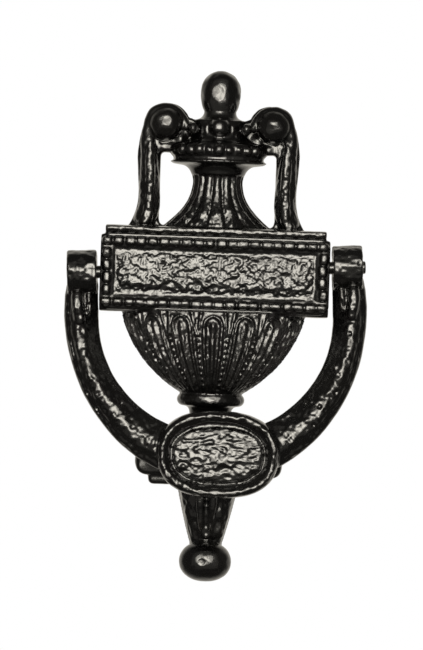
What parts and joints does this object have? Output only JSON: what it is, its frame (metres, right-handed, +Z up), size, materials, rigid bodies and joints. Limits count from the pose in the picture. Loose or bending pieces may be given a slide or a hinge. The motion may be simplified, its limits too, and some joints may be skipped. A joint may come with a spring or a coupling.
{
  "type": "urn door knocker",
  "caption": "Cast-iron urn door knocker: flat-backed urn plate with a beaded panel, and a swinging bail with an oval striker.",
  "frame": {"origin": "on the flat back face, behind the middle of the name panel", "axes": "+Z up the urn, +Y into the door, the front faces -Y, +X to the right as seen from the front"},
  "size_m": [0.1181, 0.0834, 0.2],
  "materials": {
    "black_enamelled_iron": "glossy black enamel over rough sand-cast iron",
    "zinc_plated_steel": "bright zinc plate"
  },
  "bodies": {
    "plate": {"urn_plate": "black_enamelled_iron", "pivot_pin_left": "black_enamelled_iron", "pivot_pin_right": "black_enamelled_iron", "fixing_stud_upper": "zinc_plated_steel", "fixing_stud_lower": "zinc_plated_steel", "stud_washer_upper": "zinc_plated_steel", "stud_washer_lower": "zinc_plated_steel", "dome_nut_upper": "zinc_plated_steel", "dome_nut_lower": "zinc_plated_steel"},
    "bail": {"knocker_bail": "black_enamelled_iron"}
  },
  "joints": [
    {"name": "bail_swing", "type": "hinge", "parent": "plate", "child": "bail", "pos_m": [0, -0.01, 0.0018], "axis": [-0.9987, 0, -0.0506], "range_deg": [0, 155]}
  ]
}
